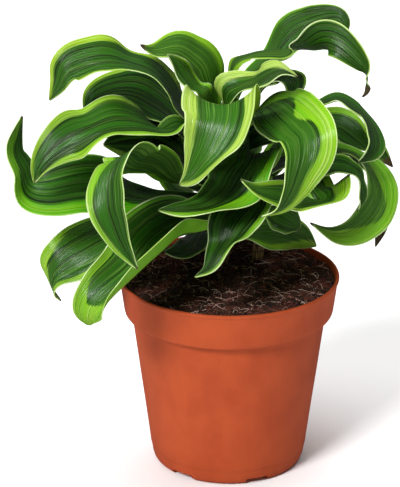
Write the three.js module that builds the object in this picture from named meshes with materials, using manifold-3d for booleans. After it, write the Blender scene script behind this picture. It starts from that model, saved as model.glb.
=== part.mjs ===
import * as THREE from "three";
import Module from "manifold-3d";

// A dracaena with arching, twisting leaves in a tapered nursery pot.
// Millimetres, +Z up, +Y away from the viewer, the pot stands on z = 0.

const wasm = await Module();
wasm.setup();
const { Manifold, Mesh: ManifoldMesh } = wasm;

// driving dimensions of the pot
const POT_HEIGHT = 99;
const POT_TOP_RADIUS = 55;
const POT_WALL = 1.6;
const POT_FLOOR = 5;
const POT_FACETS = 44;
const FOOT_COUNT = 6;
const FOOT_GAP_WIDTH = 12;
const FOOT_GAP_HEIGHT = 3;
const FOOT_GAP_TURN = 22;
const FOOT_RING_RADIUS = 29;
const DRAIN_RADIUS = 3.2;
const DRAIN_PLACE_RADIUS = 30.5;

// driving dimensions of the plant
const CLEARANCE = 0.3;
const SOIL_EDGE = 96.4;
const SOIL_MOUND = 2.2;
const CANE_FOOT = 80;
const CANE_SIDES = 14;
const LEAF_THICKNESS = 0.8;
const LEAF_STEP = 9;
const LEAF_ACROSS = 4;
const LEAF_WIDEST = 0.42;
const LEAF_BASE_WIDTH = 0.24;
const LEAF_TIP_WIDTH = 0.03;
const EDGE_WAVE = 1.1;
const EDGE_WAVES = 3;

// where each cane's centre passes, and its radius
const CANES = {
  main: { radius: 5, centre: [[-5, 19, CANE_FOOT], [-5, 18, 98], [0, 6, 125], [-5, 0, 178]] },
  side: { radius: 3, centre: [[13, 24, CANE_FOOT], [17, 22, 120], [16, 14, 138]] },
};

// one blade a row: name, its cane, height on the cane, full width, cupping in degrees, then
// places along the midrib, each with the direction in which the blade's left edge lies
const LEAVES = [
  ["leaf_01", "main", 163.5, 32, 12, [
    [-25, -6, 190, -2, -10, 2],
    [-36, -9, 206, -1, -10, 0],
    [-49, -11, 212, -2, -10, 1],
    [-58, -12, 215, -1, -10, -3],
    [-68, -13, 214, 0, -8, -6],
    [-78, -14, 210, 2, -4, -9],
    [-82, -15, 201, 1, -4, -9],
    [-86, -16, 194, 1, -4, -9]]],
  ["leaf_02", "main", 158, 34, 12, [
    [-26, 11, 177, -2, -10, -2],
    [-42, 10, 190, -1, -9, -4],
    [-54, 9, 192, 0, -9, -4],
    [-64, 8, 189, 3, -7, -6],
    [-68, 8, 185, 5, -3, -8],
    [-71, 9, 180, 5, -3, -8]]],
  ["leaf_03", "main", 151, 34, 15, [
    [-20, -16, 178, 0, -10, 2],
    [-32, -24, 182, -1, -10, 3],
    [-44, -29, 188, -1, -10, 0],
    [-55, -33, 190, -1, -9, -3],
    [-66, -37, 187, 0, -9, -4],
    [-77, -40, 183, 2, -4, -9],
    [-85, -43, 177, 3, -3, -9],
    [-90, -45, 170, 5, -3, -8],
    [-92, -46, 163, 5, -3, -8]]],
  ["leaf_04", "main", 137.5, 34, 15, [
    [-23, -4.5, 140.5, 1, -10, 1],
    [-35, -9, 141, 0, -10, 0],
    [-48, -14, 145, 0, -10, -1],
    [-60, -21, 152, 0, -9, -5],
    [-73, -28, 154, 1, -8, -6],
    [-87, -32, 153, 1, -8, -6],
    [-96, -31, 155, -1, -9, -4],
    [-99, -28, 163, -3, -10, 0],
    [-103, -25, 171, -5, -9, 2],
    [-102, -21, 178, -6, -8, 2],
    [-99, -18, 187, -6, -8, 2]]],
  ["leaf_05", "main", 142, 27, 12, [
    [-26, -18, 154, 2, -8, 5],
    [-33, -27, 162, 2, -8, 6],
    [-38, -37, 169, 2, -7, 7],
    [-44, -47, 174, 2, -7, 7],
    [-48, -57, 181, 2, -8, 5],
    [-54, -64, 179, 5, -8, 3],
    [-57, -69, 172, 7, -7, 3],
    [-57, -74, 162, 9, -4, 1],
    [-55, -76, 155, 10, -1, 0],
    [-51, -77, 145, 10, 0, 0],
    [-46, -78, 137, 10, 0, -1],
    [-43, -79, 133, 10, 0, -1]]],
  ["leaf_06", "main", 166, 40, 50, [
    [-6, -16, 179, 9, -3, 1],
    [-4, -38, 199, 9, -3, 1],
    [-4, -49, 195, 9, -3, 1],
    [-9, -54, 184, 9, -5, 0],
    [-13, -55, 178, 7, -7, -1],
    [-19, -53, 169, 6, -8, -1],
    [-24, -51, 164, 6, -8, -1]]],
  ["leaf_07", "main", 154, 33, 18, [
    [10, -19, 168, 3, -9, 2],
    [10, -33, 170, 7, -6, 2],
    [5, -42, 165, 9, -4, 1],
    [0, -46, 158, 8, -6, 0],
    [-9, -51, 154, 7, -7, 0],
    [-18, -54, 153, 6, -8, -1],
    [-28, -55, 153, 6, -8, -2],
    [-34, -55, 153, 6, -8, -2]]],
  ["leaf_08", "main", 165, 31, 12, [
    [16, 0, 185, 1, 10, 0],
    [22, -12, 190, 2, 10, 1],
    [26, -27, 191, 4, 9, 3],
    [31, -43, 191, 7, 5, 5],
    [35, -54, 189, 9, 3, 4],
    [35, -60, 182, 9, 4, 0],
    [32, -64, 174, 8, 6, -2],
    [28, -68, 166, 7, 6, -3],
    [22, -71, 159, 7, 7, -2],
    [13, -72, 156, 7, 7, -2]]],
  ["leaf_09", "main", 145, 28, 12, [
    [34, -19, 156, 0, 10, -1],
    [42, -30, 155, 3, 10, -1],
    [46, -39, 155, 7, -5, 5],
    [44, -46, 154, 8, -6, 2],
    [36, -51, 156, 5, -9, -1],
    [29, -54, 159, 2, -9, -4],
    [18, -60, 163, 1, -9, -4],
    [11, -63, 166, 1, -9, -4],
    [4, -65, 172, 1, -9, -4]]],
  ["leaf_10", "main", 137, 24, 15, [
    [35, 8, 161, 0, 10, 1],
    [47, 6, 161, 0, 10, 0],
    [58, 2, 161, 1, 10, -1],
    [67, -4, 158, 4, 9, -2],
    [72, -11, 153, 6, 7, -3],
    [73, -18, 145, 7, 6, -3],
    [68, -25, 138, 9, 1, -4],
    [59, -30, 132, 8, -2, -5],
    [49, -33, 132, 7, -3, -7],
    [38, -35, 139, 7, -3, -7]]],
  ["leaf_11", "main", 148, 22, 10, [
    [33, -16, 164, 1, 10, 0],
    [47, -24, 164, 1, 10, 1],
    [54, -29, 165, 1, 10, 1],
    [60, -32, 163, 1, 10, 2],
    [62, -34, 158, 2, 10, 1],
    [63, -35, 150, 5, 7, 5],
    [60, -36, 145, 5, 7, 5]]],
  ["leaf_12", "main", 171, 22, 12, [
    [1, 6.5, 202.5, 2, -10, 1],
    [9, 10, 208.5, 1, -10, 1],
    [19, 9, 211, 0, -10, 1],
    [26, 9, 211, 0, -10, 1],
    [31, 10, 213, -1, -9, 4],
    [37, 7, 215, -1, -8, 6],
    [45, 3, 220, 1, -4, 9],
    [52, -1, 219, 3, -2, 9],
    [59, -5, 214, 4, -2, 9],
    [65, -8, 207, 4, -6, 7],
    [65, -9, 202, -3, -9, 4],
    [66, -10, 197, 8, -4, 4],
    [63, -11, 194, 8, -4, 4]]],
  ["leaf_13", "main", 166, 24, 12, [
    [2, 20, 185, -3, 10, -1],
    [20, 32, 199, -2, 10, -1],
    [30, 33, 212, -6, 7, 3],
    [38, 30, 218, -3, 7, 6],
    [48, 26, 223, -1, 4, 9],
    [54, 23, 224, 2, 3, 9],
    [56, 21, 220, 8, 2, 4],
    [56, 20, 214, 9, 1, 1]]],
  ["leaf_14", "main", 170, 26, 12, [
    [-1, -9, 193, -5, 9, -2],
    [4, -13, 199, -4, 9, -2],
    [12, -17, 204, -2, 10, -1],
    [19, -20, 209, -2, 10, 1],
    [24, -22, 211, -2, 10, 2],
    [28, -23, 210, 1, 10, 1],
    [32, -24, 208, 1, 10, 1]]],
  ["leaf_15", "main", 160, 22, 12, [
    [8, 18, 172, 1, 10, -1],
    [16, 19, 189, 0, 10, -1],
    [23, 18, 193, 0, 10, 0],
    [28, 16, 195, 3, 10, 0],
    [30, 8, 194, 5, 9, 1],
    [30, 3, 189, 7, 7, 0],
    [32, 0, 183, 7, 7, 0]]],
  ["leaf_16", "main", 169, 28, 12, [
    [-10, 5, 189, -5, -9, 1],
    [-13, 7, 202, -6, -8, -2],
    [-18, 6, 208, -5, -8, -2],
    [-24, 4, 213, -4, -8, -3],
    [-30, 1, 214, -2, -10, -2],
    [-37, -2, 214, -1, -10, -2],
    [-43, -4, 218, -1, -10, -2]]],
  ["leaf_17", "main", 174, 18, 12, [
    [-12, -11, 194, -4, -9, 2],
    [-17, -11, 199, -5, -8, 3],
    [-22, -11, 206, -6, -7, 3],
    [-26, -12, 212, -7, -7, 0],
    [-30, -13, 216, -7, -7, 0]]],
  ["leaf_18", "main", 120.5, 34, 12, [
    [-24, -8, 132, 2, -10, 1],
    [-41, -15, 132, 1, -10, -1],
    [-57, -23, 128, 2, -9, -3],
    [-72, -30, 122, 4, -7, -6],
    [-82, -32, 116, 6, -4, -7],
    [-86, -32, 110, 5, -7, -5],
    [-86, -30, 102, 3, -9, -3],
    [-82, -27, 95, 3, -9, -3]]],
  ["leaf_19", "main", 124.5, 45, 76, [
    [-13, -16, 131, 7, -5, -3],
    [-22, -29, 134, 6, -8, -2],
    [-32, -42, 133, 4, -9, 0],
    [-39, -55, 130, 4, -9, 0],
    [-48, -62, 123, 4, -9, 0],
    [-58, -66, 116, 7, -7, -1],
    [-65, -67, 110, 10, -4, 0],
    [-67, -66, 104, 10, -3, 0],
    [-67, -61, 97, 10, -2, 0]]],
  ["leaf_20", "main", 134.5, 28, 20, [
    [9, -23, 149.5, 4, -9, 3],
    [9, -38, 149, 7, -7, 1],
    [2, -47, 144, 9, -4, 0],
    [-2, -52, 136.5, 8, -5, 3],
    [-6, -57, 132, 7, -7, 3],
    [-10, -61, 126, 7, -7, 3],
    [-17, -62, 122, 7, -7, 3]]],
  ["leaf_21", "main", 112.5, 19, 10, [
    [10, 13, 116, 1, 4, 9],
    [20, 16, 115, 1, 4, 9],
    [28, 20, 113, 3, 4, 8],
    [36, 24, 109, 5, 3, 8],
    [45, 28, 102, 6, 3, 7]]],
  ["leaf_22", "side", 127, 16, 10, [
    [21, 12, 127, 2, 5, 8],
    [28, 10, 124, 3, 5, 8],
    [33, 12, 120, 5, 5, 7],
    [35, 13, 116, 6, 5, 6]]],
  ["leaf_23", "side", 129.5, 18, 10, [
    [36, 26, 139, 0, 10, 2],
    [58, 36, 144, 1, 10, 0],
    [73, 32, 142, 3, 10, -1],
    [79, 27, 132, 5, 9, -3],
    [78, 22, 121, 7, 7, -3],
    [76, 19, 112, 10, 0, 0],
    [74, 17, 106, 10, 0, 0]]],
  ["leaf_24", "main", 158, 25, 12, [
    [14, 3, 170, -5, 4, 7],
    [34, 4, 181, 0, 10, -2],
    [45, 5, 185, 0, 10, -2],
    [53, 4, 188, 0, 10, -2],
    [60, 1, 185, 2, 10, -2],
    [66, -2, 180, 3, 9, -2],
    [69, -9, 175, 5, 8, -3],
    [69, -17, 171, 5, 8, -3],
    [65, -25, 169, 5, 7, -5],
    [60, -29, 167, 5, 7, -5]]],
  ["leaf_25", "main", 133.5, 31, 12, [
    [36, 32, 160, 0, 10, 1],
    [48, 37, 164, 1, 10, 3],
    [56, 37, 164, 1, 9, 5],
    [63, 34, 160, 3, 6, 7],
    [68, 30, 156, 3, 4, 9],
    [72, 28, 153, 3, 4, 9]]],
  ["leaf_26", "side", 135.5, 20, 10, [
    [58, 46, 153, 1, 10, 0],
    [70, 44, 157, 3, 9, 2],
    [76, 39, 150, 5, 7, 4],
    [81, 34, 145, 8, 2, 6],
    [83, 33, 143, 8, 2, 6]]],
  ["leaf_27", "side", 110, 18, 10, [
    [-10, 26, 113, 2, -10, 1],
    [-18, 12, 109, 2, -10, -2],
    [-26, 2, 109, 2, -9, -4],
    [-33, -2, 111, 2, -9, -4]]],
  ["leaf_28", "main", 127, 20, 10, [
    [-27, 32, 137, 8, -6, 3],
    [-26, 36, 132, 9, -5, 2],
    [-24, 37, 127, 9, -4, 2],
    [-23, 38, 122, 9, -4, 2]]],
  ["leaf_29", "main", 148, 34, 12, [
    [-22, -9, 163, 0, -10, -1],
    [-34, -10, 171, 0, -9, -4],
    [-43, -11, 172, 0, -7, -7],
    [-52, -12, 172, 1, -4, -9],
    [-61, -14, 171, 1, -4, -9]]],
  ["leaf_30", "main", 152, 30, 14, arched(88, 52, 170, 154, -10, 20)],
  ["leaf_31", "main", 150, 30, 14, arched(116, 56, 165, 150, 6, -15)],
  ["leaf_32", "main", 145, 26, 14, arched(78, 56, 154, 140, 0, 15)],
  ["leaf_33", "main", 143.5, 28, 14, arched(152, 58, 158.2, 147.2, 5, -12)],
  ["leaf_34", "main", 136.5, 30, 14, arched(96, 60, 143, 128, 2, 8)],
  ["leaf_35", "main", 139.5, 27, 14, arched(173, 66, 152, 143, -4, 10)],
  ["leaf_36", "main", 122.5, 27, 14, arched(76, 58, 129, 115, -6, 10)],
];

const COLOURS = {
  pot: 0xb5583a,
  soil: 0x2e1d17,
  cane: 0x7a6a45,
  leaf: 0x3f7d35,
  young: 0x7fae3e,
};
const YOUNG_LEAVES = ["leaf_06", "leaf_14", "leaf_17"];

// midrib places of a plain arching blade: the way it grows out, how far it reaches, its highest
// and its last height, how far it swings sideways and how much it leans by its tip
function arched(turn, reach, top, end, swing, lean) {
  const shape = [[0.32, 0.25], [0.6, 0], [0.84, 0.35], [1, 1]];
  return shape.map(([share, fall]) => {
    const angle = ((turn + swing * share * share) * Math.PI) / 180;
    const roll = (lean * share * Math.PI) / 180;
    const height = share < 0.5 ? top - 7 : top - (top - end) * fall;
    return [
      reach * share * Math.cos(angle) - 3,
      reach * share * Math.sin(angle) + 3,
      height,
      -Math.sin(angle) * Math.cos(roll),
      Math.cos(angle) * Math.cos(roll),
      Math.sin(roll),
    ];
  });
}

function solidGeometry(points, faces) {
  const geometry = new THREE.BufferGeometry();
  const places = points.flatMap((point) => [point.x, point.y, point.z]);
  geometry.setAttribute("position", new THREE.Float32BufferAttribute(places, 3));
  geometry.setIndex(faces.flat());
  geometry.computeVertexNormals();
  return geometry;
}

function toManifold(points, faces) {
  return new Manifold(new ManifoldMesh({
    numProp: 3,
    vertProperties: new Float32Array(points.flatMap((point) => [point.x, point.y, point.z])),
    triVerts: new Uint32Array(faces.flat()),
  }));
}

function fromManifold(solid) {
  const mesh = solid.getMesh();
  const points = [];
  for (let i = 0; i < mesh.vertProperties.length; i += mesh.numProp) {
    points.push(new THREE.Vector3(...mesh.vertProperties.slice(i, i + 3)));
  }
  const faces = [];
  for (let i = 0; i < mesh.triVerts.length; i += 3) {
    faces.push([...mesh.triVerts.slice(i, i + 3)]);
  }
  return solidGeometry(points, faces);
}

// a closed round body from [radius, height] pairs that run from the axis back to the axis
function turnedSolid(profile, facets) {
  const points = [];
  const faces = [];
  const rows = profile.slice(1, -1);
  rows.forEach(([radius, height]) => {
    for (let k = 0; k < facets; k++) {
      const angle = (2 * Math.PI * k) / facets;
      points.push(new THREE.Vector3(radius * Math.cos(angle), radius * Math.sin(angle), height));
    }
  });
  const first = points.length;
  points.push(new THREE.Vector3(0, 0, profile[0][1]));
  points.push(new THREE.Vector3(0, 0, profile[profile.length - 1][1]));
  for (let k = 0; k < facets; k++) {
    const next = (k + 1) % facets;
    faces.push([first, next, k]);
    for (let row = 0; row < rows.length - 1; row++) {
      const low = row * facets;
      const high = low + facets;
      faces.push([low + k, low + next, high + next], [low + k, high + next, high + k]);
    }
    const last = (rows.length - 1) * facets;
    faces.push([first + 1, last + k, last + next]);
  }
  return { points, faces };
}

function potSolid() {
  const top = POT_TOP_RADIUS;
  const wall = POT_WALL;
  const high = POT_HEIGHT;
  const profile = [
    [0, 0], [34.8, 0], [37.6, 1.2], [38.8, 4.4], [39.4, 8.2], [39.8, 9],
    [43.9, 43], [48, 76], [48.7, 79.2], [51.6, 79.9], [52.4, 81.2],
    [top - 0.8, high - 2.2], [top, high - 1.2], [top - 0.3, high - 0.3],
    [top - 0.9, high], [top - wall, high - 0.5],
    [50.8, 82], [46.9, 80.6], [46.3, 76], [42.3, 43], [37.6, 8], [35, POT_FLOOR], [0, POT_FLOOR],
  ];
  const turned = turnedSolid(profile, POT_FACETS);
  let pot = toManifold(turned.points, turned.faces);
  for (let k = 0; k < FOOT_COUNT; k++) {
    const turn = FOOT_GAP_TURN + (360 / FOOT_COUNT) * k - 90;
    const gap = Manifold.cube([20, FOOT_GAP_WIDTH, 2 * FOOT_GAP_HEIGHT], true)
      .translate([FOOT_RING_RADIUS + 10, 0, 0])
      .rotate([0, 0, turn]);
    const drain = Manifold.cylinder(POT_FLOOR + 4, DRAIN_RADIUS, DRAIN_RADIUS, 12)
      .translate([DRAIN_PLACE_RADIUS, 0, -2])
      .rotate([0, 0, turn]);
    pot = pot.subtract(gap).subtract(drain);
  }
  return fromManifold(pot);
}

function soilTop(x, y) {
  const radius = Math.hypot(x, y) / POT_TOP_RADIUS;
  const mound = SOIL_MOUND * (1 - radius * radius);
  const lumps = 0.5 * Math.sin(x / 6 + 1) * Math.cos(y / 7) + 0.35 * Math.sin((x - y) / 4);
  return SOIL_EDGE + mound + lumps;
}

function soilSolid() {
  const profile = [
    [0, POT_FLOOR + CLEARANCE], [34.5, POT_FLOOR + CLEARANCE], [37.2, 8.3], [41.95, 43],
    [45.95, 76], [46.55, 80.95], [50.4, 82.4], [52.5, SOIL_EDGE - 0.6],
    [47, SOIL_EDGE], [38, SOIL_EDGE], [28, SOIL_EDGE], [17, SOIL_EDGE], [8, SOIL_EDGE],
    [0, SOIL_EDGE],
  ];
  const turned = turnedSolid(profile, POT_FACETS);
  turned.points.forEach((point) => {
    if (point.z >= SOIL_EDGE - 0.6) {
      point.z = soilTop(point.x, point.y);
    }
  });
  let soil = toManifold(turned.points, turned.faces);
  for (const cane of Object.values(CANES)) {
    const hole = caneSolid(cane.centre, cane.radius + CLEARANCE, CLEARANCE);
    soil = soil.subtract(toManifold(hole.points, hole.faces));
  }
  return fromManifold(soil);
}

function caneSolid(centre, radius, lower) {
  const points = [];
  const faces = [];
  centre.forEach(([x, y, z], row) => {
    for (let k = 0; k < CANE_SIDES; k++) {
      const angle = (2 * Math.PI * k) / CANE_SIDES;
      const height = row === 0 ? z - lower : z;
      points.push(new THREE.Vector3(x + radius * Math.cos(angle), y + radius * Math.sin(angle), height));
    }
  });
  const last = (centre.length - 1) * CANE_SIDES;
  for (let k = 0; k < CANE_SIDES; k++) {
    const next = (k + 1) % CANE_SIDES;
    for (let low = 0; low < last; low += CANE_SIDES) {
      const high = low + CANE_SIDES;
      faces.push([low + k, low + next, high + next], [low + k, high + next, high + k]);
    }
    if (k > 0 && k < CANE_SIDES - 1) {
      faces.push([0, next, k], [last, last + k, last + next]);
    }
  }
  return { points, faces };
}

function caneCentreAt(cane, height) {
  const centre = cane.centre;
  const upper = Math.max(1, centre.findIndex(([, , z]) => z >= height));
  const from = new THREE.Vector3(...centre[upper - 1]);
  const to = new THREE.Vector3(...centre[upper]);
  return from.lerp(to, (height - from.z) / (to.z - from.z));
}

// share of the full width at a share of the length: narrow at the cane, widest before the middle
function widthShare(along) {
  const rise = THREE.MathUtils.smoothstep(along, 0, LEAF_WIDEST);
  const fall = Math.max(0, (along - LEAF_WIDEST) / (1 - LEAF_WIDEST));
  return (LEAF_BASE_WIDTH + (1 - LEAF_BASE_WIDTH) * rise) * (1 - fall ** 2.3) + LEAF_TIP_WIDTH;
}

function leafSolid([, caneName, height, width, cupping, stations], order) {
  const cane = CANES[caneName];
  const base = caneCentreAt(cane, height);
  const outward = new THREE.Vector3(stations[0][0] - base.x, stations[0][1] - base.y, 0).normalize();
  base.addScaledVector(outward, cane.radius + 0.9);
  const side = new THREE.Vector3(0, 0, 1).cross(outward);
  const midrib = [base, ...stations.map(([x, y, z]) => new THREE.Vector3(x, y, z))];
  const sides = [side, ...stations.map(([, , , x, y, z]) => new THREE.Vector3(x, y, z).normalize())];
  const path = new THREE.CatmullRomCurve3(midrib, false, "catmullrom", 0.5);
  const edge = new THREE.CatmullRomCurve3(sides, false, "catmullrom", 0.5);
  const steps = Math.round(path.getLength() / LEAF_STEP);
  const upper = [];
  const lower = [];
  for (let i = 0; i <= steps; i++) {
    const along = i / steps;
    const share = path.getUtoTmapping(along);
    const centre = path.getPoint(share);
    const tangent = path.getTangent(share);
    const across = edge.getPoint(share);
    across.addScaledVector(tangent, -across.dot(tangent)).normalize();
    const up = new THREE.Vector3().crossVectors(tangent, across);
    const half = (width / 2) * widthShare(along);
    const cup = THREE.MathUtils.degToRad(cupping) * Math.min(1, 5 * (1 - along)) + 0.0001;
    for (let j = 0; j <= LEAF_ACROSS; j++) {
      const place = (2 * j) / LEAF_ACROSS - 1;
      const bend = cup * place;
      const calm = Math.min(1, 4 * along, 4 * (1 - along));
      const phase = 2 * Math.PI * EDGE_WAVES * along + order + (place > 0 ? 0 : 2);
      const wave = EDGE_WAVE * calm * place * place * Math.sin(phase);
      const normal = up.clone().multiplyScalar(Math.cos(bend)).addScaledVector(across, -Math.sin(bend));
      const middle = centre.clone()
        .addScaledVector(across, (half * Math.sin(bend)) / cup)
        .addScaledVector(up, (half * (1 - Math.cos(bend))) / cup)
        .addScaledVector(normal, wave);
      upper.push(middle.clone().addScaledVector(normal, LEAF_THICKNESS / 2));
      lower.push(middle.clone().addScaledVector(normal, -LEAF_THICKNESS / 2));
    }
  }
  return solidGeometry([...upper, ...lower], bladeFaces(steps, upper.length));
}

// both faces of a blade share one pattern of triangles, and its rim is closed between them
function bladeFaces(steps, under) {
  const row = LEAF_ACROSS + 1;
  const faces = [];
  for (let i = 0; i < steps; i++) {
    for (let j = 0; j < LEAF_ACROSS; j++) {
      const a = i * row + j;
      const b = a + row;
      faces.push([a, b, b + 1], [a, b + 1, a + 1]);
      faces.push([under + b + 1, under + b, under + a], [under + a + 1, under + b + 1, under + a]);
    }
    const left = i * row;
    const right = left + LEAF_ACROSS;
    faces.push([left, under + left, under + left + row], [left, under + left + row, left + row]);
    faces.push([right, right + row, under + right + row], [right, under + right + row, under + right]);
  }
  const tip = steps * row;
  for (let j = 0; j < LEAF_ACROSS; j++) {
    faces.push([j, j + 1, under + j + 1], [j, under + j + 1, under + j]);
    faces.push([tip + j, under + tip + j, under + tip + j + 1], [tip + j, under + tip + j + 1, tip + j + 1]);
  }
  return faces;
}

function piece(name, geometry, colour) {
  const material = new THREE.MeshStandardMaterial({ color: colour, roughness: 0.5 });
  const mesh = new THREE.Mesh(geometry, material);
  mesh.name = name;
  return mesh;
}

const plant = new THREE.Group();
plant.name = "potted_dracaena";
plant.add(piece("pot", potSolid(), COLOURS.pot));
plant.add(piece("soil", soilSolid(), COLOURS.soil));
for (const [name, cane] of Object.entries(CANES)) {
  const { points, faces } = caneSolid(cane.centre, cane.radius, 0);
  plant.add(piece(`cane_${name}`, solidGeometry(points, faces), COLOURS.cane));
}
LEAVES.forEach((leaf, order) => {
  const colour = YOUNG_LEAVES.includes(leaf[0]) ? COLOURS.young : COLOURS.leaf;
  plant.add(piece(leaf[0], leafSolid(leaf, order), colour));
});

export default plant;
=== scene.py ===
import math
import random
import bpy
from mathutils import Matrix, Vector, noise


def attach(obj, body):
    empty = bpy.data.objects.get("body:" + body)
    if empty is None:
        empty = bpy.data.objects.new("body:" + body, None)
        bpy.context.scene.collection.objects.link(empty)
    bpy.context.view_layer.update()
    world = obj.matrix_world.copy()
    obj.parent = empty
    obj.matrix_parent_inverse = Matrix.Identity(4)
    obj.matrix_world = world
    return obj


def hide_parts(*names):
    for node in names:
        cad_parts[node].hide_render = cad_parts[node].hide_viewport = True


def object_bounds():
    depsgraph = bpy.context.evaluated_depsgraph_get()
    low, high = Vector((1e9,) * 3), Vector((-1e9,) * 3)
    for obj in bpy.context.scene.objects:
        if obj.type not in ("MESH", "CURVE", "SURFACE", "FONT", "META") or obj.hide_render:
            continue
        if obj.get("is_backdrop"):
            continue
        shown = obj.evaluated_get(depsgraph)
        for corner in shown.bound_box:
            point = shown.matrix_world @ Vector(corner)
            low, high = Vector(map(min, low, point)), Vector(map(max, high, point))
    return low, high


# a dracaena with lime edged twisting leaves in a terracotta coloured nursery pot
# lengths in the dictionaries are millimetres, the scene itself is in metres
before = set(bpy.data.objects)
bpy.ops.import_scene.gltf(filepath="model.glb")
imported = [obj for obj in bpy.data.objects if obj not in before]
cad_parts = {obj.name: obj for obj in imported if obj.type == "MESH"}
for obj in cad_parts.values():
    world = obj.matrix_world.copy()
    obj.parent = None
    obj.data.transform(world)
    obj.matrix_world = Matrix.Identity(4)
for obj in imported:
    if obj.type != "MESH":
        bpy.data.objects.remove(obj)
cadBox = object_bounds()
mm = 0.001


def tint(red, green, blue):
    # a colour given on a screen scale of 0 to 255, as the linear colour that shaders use
    def linear(value):
        share = value / 255
        return share / 12.92 if share <= 0.04045 else ((share + 0.055) / 1.055) ** 2.4
    return (linear(red), linear(green), linear(blue), 1)


# camera, light and floor
studio = {
    "aim": (-14.4, 0, 114.6),
    "distance": 1100,
    "elevation": 21.5,
    "lens": 164.1,
    "floorSize": 8000,
    "floorColour": (0.97, 0.97, 0.97, 1),
    "skyColour": (1, 1, 1, 1),
    "skyStrength": 0.12,
}

studioLights = {
    # name: compass turn from the viewer towards the right, height of the light, strength, softness,
    # all angles in degrees
    "keyLight": (-36, 41, 3.05, 18),
    "topLight": (180, 84, 2.6, 50),
}


def aimAt(thing, target):
    direction = Vector(target) * mm - thing.location
    thing.rotation_euler = direction.to_track_quat("-Z", "Y").to_euler()


def makeStudio():
    tilt = math.radians(studio["elevation"])
    back = Vector((0, -math.cos(tilt), math.sin(tilt)))
    place = (Vector(studio["aim"]) + back * studio["distance"]) * mm
    bpy.ops.object.camera_add(location=place)
    camera = bpy.context.object
    camera.name = "viewCamera"
    camera.data.lens = studio["lens"]
    camera.data.sensor_width = 36
    camera.data.clip_start = 0.05
    aimAt(camera, studio["aim"])
    bpy.context.scene.camera = camera
    for name, (turn, rise, strength, softness) in studioLights.items():
        turn, rise = math.radians(turn), math.radians(rise)
        towards = Vector((
            math.sin(turn) * math.cos(rise), -math.cos(turn) * math.cos(rise), math.sin(rise)))
        bpy.ops.object.light_add(type="SUN", location=towards * 2)
        lamp = bpy.context.object
        lamp.name = name
        lamp.data.energy = strength
        lamp.data.angle = math.radians(softness)
        # the light from above makes no glare on the blades
        lamp.visible_glossy = name != "topLight"
        aimAt(lamp, (0, 0, 0))
    sky = bpy.data.worlds.new("softSky")
    sky.use_nodes = True
    sky.node_tree.nodes["Background"].inputs["Color"].default_value = studio["skyColour"]
    sky.node_tree.nodes["Background"].inputs["Strength"].default_value = studio["skyStrength"]
    bpy.context.scene.world = sky
    bpy.ops.mesh.primitive_plane_add(size=studio["floorSize"] * mm)
    floor = bpy.context.object
    floor.name = "floor"
    paint = bpy.data.materials.new("floorPaint")
    paint.use_nodes = True
    paint.node_tree.nodes["Principled BSDF"].inputs["Base Color"].default_value = studio["floorColour"]
    paint.node_tree.nodes["Principled BSDF"].inputs["Roughness"].default_value = 0.9
    floor.data.materials.append(paint)
    floor.visible_glossy = False  # so that it leaves no haze on the blades
    floor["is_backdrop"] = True
    bpy.context.scene.view_settings.view_transform = "Standard"


# shader maths
class Field:
    # a node's output that can be used in arithmetic
    def __init__(self, tree, socket):
        self.tree = tree
        self.socket = socket

    def math(self, operation, *others):
        node = self.tree.nodes.new("ShaderNodeMath")
        node.operation = operation
        for place, value in enumerate((self, *others)):
            if isinstance(value, Field):
                self.tree.links.new(value.socket, node.inputs[place])
            else:
                node.inputs[place].default_value = value
        return Field(self.tree, node.outputs[0])

    def __add__(self, other):
        return self.math("ADD", other)

    __radd__ = __add__

    def __mul__(self, other):
        return self.math("MULTIPLY", other)

    __rmul__ = __mul__

    def __sub__(self, other):
        return self.math("SUBTRACT", other)

    def __rsub__(self, other):
        return (self * -1) + other

    def limited(self):
        return self.math("MAXIMUM", 0).math("MINIMUM", 1)


class Finish:
    # one material with its shader, and short ways to add nodes to it
    def __init__(self, name, **settings):
        self.material = bpy.data.materials.new(name)
        self.material.use_nodes = True
        self.tree = self.material.node_tree
        self.shader = self.tree.nodes["Principled BSDF"]
        for socket, value in settings.items():
            self.shader.inputs[socket.replace("_", " ")].default_value = value

    def node(self, kind, settings, inputs):
        node = self.tree.nodes.new(kind)
        for key, value in settings.items():
            setattr(node, key, value)
        for key, value in inputs.items():
            if isinstance(value, Field):
                self.tree.links.new(value.socket, node.inputs[key])
            else:
                node.inputs[key].default_value = value
        return node

    def out(self, node, output=0):
        return Field(self.tree, node.outputs[output])

    def attribute(self, name):
        held = self.node("ShaderNodeAttribute", {"attribute_name": name}, {})
        split = self.node("ShaderNodeSeparateXYZ", {}, {0: self.out(held, "Vector")})
        return [self.out(split, place) for place in range(3)]

    def place(self):
        return self.out(self.node("ShaderNodeTexCoord", {}, {}), "Object")

    def vector(self, x, y, z):
        return self.out(self.node("ShaderNodeCombineXYZ", {}, {0: x, 1: y, 2: z}))

    def scaled(self, vector, x, y, z):
        inputs = {0: vector, 1: (x, y, z)}
        return self.out(self.node("ShaderNodeVectorMath", {"operation": "MULTIPLY"}, inputs))

    def grain(self, vector, scale, detail=2.0, rough=0.5):
        inputs = {"Vector": vector, "Scale": scale, "Detail": detail, "Roughness": rough}
        return self.out(self.node("ShaderNodeTexNoise", {}, inputs), "Fac")

    def step(self, value, low, high):
        # 0 below low, 1 above high and smooth between them
        inputs = {"Value": value, "From Min": low, "From Max": high}
        settings = {"interpolation_type": "SMOOTHSTEP"}
        return self.out(self.node("ShaderNodeMapRange", settings, inputs), "Result")

    def mix(self, share, first, second):
        node = self.node("ShaderNodeMix", {"data_type": "RGBA"}, {0: share, 6: first, 7: second})
        return self.out(node, 2)

    def bump(self, height, distance, strength=1.0):
        inputs = {"Height": height, "Distance": distance, "Strength": strength}
        self.feed("Normal", self.out(self.node("ShaderNodeBump", {}, inputs), "Normal"))

    def feed(self, socket, value):
        self.tree.links.new(value.socket, self.shader.inputs[socket])


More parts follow.
